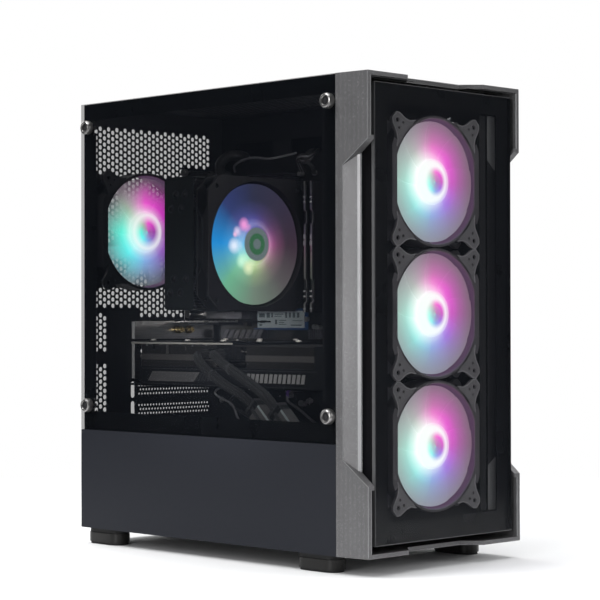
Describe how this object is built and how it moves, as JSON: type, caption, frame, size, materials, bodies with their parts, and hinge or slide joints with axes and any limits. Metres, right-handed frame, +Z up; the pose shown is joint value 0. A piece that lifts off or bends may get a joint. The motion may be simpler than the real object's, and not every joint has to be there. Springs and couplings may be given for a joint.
{
  "type": "desktop computer tower",
  "caption": "Mid-tower desktop computer with a glass side and glass front, lit fans, tower cooler, graphics card, drives bay and shrouded power supply, with removable panels and filters.",
  "frame": {"origin": "on the floor under the middle of the whole computer's box", "axes": "+Z up, -Y out of the glass front, -X out of the glass side, +Y out of the rear panel"},
  "size_m": [0.222, 0.3994, 0.4417],
  "materials": {
    "black_steel": "satin black powder coat",
    "blue_black_steel": "satin blue-black powder coat",
    "gunmetal_plastic": "gunmetal with a fine metallic speckle",
    "black_plastic": "black moulded plastic",
    "fan_frame_plastic": "charcoal moulded plastic",
    "frosted_rotor": "frosted translucent plastic, lit from the hub",
    "smoked_glass": "lightly smoked tempered glass with a black border",
    "bare_metal": "bare plated metal",
    "black_metal": "black anodised metal",
    "circuit_board": "black solder mask",
    "foot_rubber": "matt rubber",
    "chrome": "bright plated",
    "drive_label": "pale sticker",
    "lead_sleeve": "black braided sleeve"
  },
  "bodies": {
    "chassis": {"bottom_pan": "black_steel", "top_panel": "black_steel", "rear_panel": "black_steel", "front_plate": "black_steel", "motherboard_tray": "black_steel", "psu_shroud": "black_steel", "drive_cage": "black_steel", "slot_cover_1": "black_steel", "slot_cover_2": "black_steel", "psu_case": "black_steel", "left_lower_panel": "blue_black_steel", "foot_front_left": "foot_rubber", "foot_front_right": "foot_rubber", "foot_rear_left": "foot_rubber", "foot_rear_right": "foot_rubber", "front_fan_bottom_frame": "fan_frame_plastic", "front_fan_middle_frame": "fan_frame_plastic", "front_fan_top_frame": "fan_frame_plastic", "rear_fan_frame": "black_plastic", "cooler_fan_frame": "black_plastic", "gpu_shroud": "black_plastic", "gpu_bracket": "bare_metal", "gpu_heatsink": "bare_metal", "ram_stick_1": "black_metal", "ram_stick_2": "black_metal", "gpu_backplate": "black_metal", "cooler_heatsink": "black_metal", "motherboard": "circuit_board", "gpu_board": "circuit_board", "wifi_card": "circuit_board", "m2_drive": "drive_label", "gpu_lead_1": "lead_sleeve", "gpu_lead_2": "lead_sleeve", "psu_lead_1": "lead_sleeve", "psu_lead_2": "lead_sleeve"},
    "front_fan_bottom_spinner": {"front_fan_bottom_rotor": "frosted_rotor"},
    "front_fan_middle_spinner": {"front_fan_middle_rotor": "frosted_rotor"},
    "front_fan_top_spinner": {"front_fan_top_rotor": "frosted_rotor"},
    "rear_fan_spinner": {"rear_fan_rotor": "frosted_rotor"},
    "cooler_fan_spinner": {"cooler_fan_rotor": "frosted_rotor"},
    "gpu_fan_1_spinner": {"gpu_fan_rotor_1": "black_plastic"},
    "gpu_fan_2_spinner": {"gpu_fan_rotor_2": "black_plastic"},
    "gpu_fan_3_spinner": {"gpu_fan_rotor_3": "black_plastic"},
    "psu_fan_spinner": {"psu_fan_rotor": "black_plastic"},
    "bezel_assembly": {"front_bezel": "gunmetal_plastic", "bezel_inner_frame": "black_plastic", "front_glass": "smoked_glass", "front_io_module": "bare_metal"},
    "power_button": {"power_button": "black_plastic"},
    "glass_side": {"left_glass_panel": "smoked_glass"},
    "glass_screw_front_lower": {"glass_screw_front_lower": "chrome"},
    "glass_screw_front_upper": {"glass_screw_front_upper": "chrome"},
    "glass_screw_rear_lower": {"glass_screw_rear_lower": "chrome"},
    "glass_screw_rear_upper": {"glass_screw_rear_upper": "chrome"},
    "steel_side": {"right_side_panel": "blue_black_steel"},
    "panel_screw_lower": {"panel_screw_lower": "black_metal"},
    "panel_screw_upper": {"panel_screw_upper": "black_metal"},
    "top_filter": {"top_filter": "black_plastic"},
    "psu_filter": {"psu_filter": "black_plastic"},
    "psu_switch": {"psu_switch": "black_plastic"}
  },
  "joints": [
    {"name": "front_fan_bottom_spin", "type": "hinge", "parent": "chassis", "child": "front_fan_bottom_spinner", "pos_m": [0.0035, -0.1757, 0.1087], "axis": [0, 1, 0], "continuous": true},
    {"name": "front_fan_middle_spin", "type": "hinge", "parent": "chassis", "child": "front_fan_middle_spinner", "pos_m": [0.0035, -0.1757, 0.2287], "axis": [0, 1, 0], "continuous": true},
    {"name": "front_fan_top_spin", "type": "hinge", "parent": "chassis", "child": "front_fan_top_spinner", "pos_m": [0.0035, -0.1757, 0.3487], "axis": [0, 1, 0], "continuous": true},
    {"name": "rear_fan_spin", "type": "hinge", "parent": "chassis", "child": "rear_fan_spinner", "pos_m": [-0.0374, 0.1773, 0.3135], "axis": [0, 1, 0], "continuous": true},
    {"name": "cooler_fan_spin", "type": "hinge", "parent": "chassis", "child": "cooler_fan_spinner", "pos_m": [-0.007, 0.0433, 0.298], "axis": [0, 1, 0], "continuous": true},
    {"name": "gpu_fan_1_spin", "type": "hinge", "parent": "chassis", "child": "gpu_fan_1_spinner", "pos_m": [0.0085, -0.0477, 0.163], "axis": [0, 0, 1], "continuous": true},
    {"name": "gpu_fan_2_spin", "type": "hinge", "parent": "chassis", "child": "gpu_fan_2_spinner", "pos_m": [0.0085, 0.0453, 0.163], "axis": [0, 0, 1], "continuous": true},
    {"name": "gpu_fan_3_spin", "type": "hinge", "parent": "chassis", "child": "gpu_fan_3_spinner", "pos_m": [0.0085, 0.1383, 0.163], "axis": [0, 0, 1], "continuous": true},
    {"name": "psu_fan_spin", "type": "hinge", "parent": "chassis", "child": "psu_fan_spinner", "pos_m": [0.0035, 0.1163, 0.034], "axis": [0, 0, 1], "continuous": true},
    {"name": "bezel_pull", "type": "slide", "parent": "chassis", "child": "bezel_assembly", "axis": [0, -1, 0], "range_m": [0, 0.05]},
    {"name": "power_button_press", "type": "slide", "parent": "bezel_assembly", "child": "power_button", "axis": [0, 0, -1], "range_m": [0, 0.0012], "stiffness_N_per_m": 900, "springref_m": -0.0003},
    {"name": "glass_side_pull", "type": "slide", "parent": "chassis", "child": "glass_side", "axis": [-1, 0, 0], "range_m": [0, 0.06]},
    {"name": "glass_screw_front_lower_turn", "type": "hinge", "parent": "glass_side", "child": "glass_screw_front_lower", "pos_m": [-0.104, -0.1572, 0.1385], "axis": [1, 0, 0], "continuous": true},
    {"name": "glass_screw_front_upper_turn", "type": "hinge", "parent": "glass_side", "child": "glass_screw_front_upper", "pos_m": [-0.104, -0.1572, 0.416], "axis": [1, 0, 0], "continuous": true},
    {"name": "glass_screw_rear_lower_turn", "type": "hinge", "parent": "glass_side", "child": "glass_screw_rear_lower", "pos_m": [-0.104, 0.1783, 0.1385], "axis": [1, 0, 0], "continuous": true},
    {"name": "glass_screw_rear_upper_turn", "type": "hinge", "parent": "glass_side", "child": "glass_screw_rear_upper", "pos_m": [-0.104, 0.1783, 0.416], "axis": [1, 0, 0], "continuous": true},
    {"name": "steel_side_slide", "type": "slide", "parent": "chassis", "child": "steel_side", "axis": [0, 1, 0], "range_m": [0, 0.06]},
    {"name": "panel_screw_lower_turn", "type": "hinge", "parent": "steel_side", "child": "panel_screw_lower", "pos_m": [0.1025, 0.1923, 0.092], "axis": [0, 1, 0], "continuous": true},
    {"name": "panel_screw_upper_turn", "type": "hinge", "parent": "steel_side", "child": "panel_screw_upper", "pos_m": [0.1025, 0.1923, 0.372], "axis": [0, 1, 0], "continuous": true},
    {"name": "top_filter_lift", "type": "slide", "parent": "chassis", "child": "top_filter", "axis": [0, 0, 1], "range_m": [0, 0.04]},
    {"name": "psu_filter_slide", "type": "slide", "parent": "chassis", "child": "psu_filter", "axis": [0, 1, 0], "range_m": [0, 0.15]},
    {"name": "psu_switch_rock", "type": "hinge", "parent": "chassis", "child": "psu_switch", "pos_m": [-0.0045, 0.1859, 0.084], "axis": [1, 0, 0], "range_deg": [0, 12]}
  ]
}
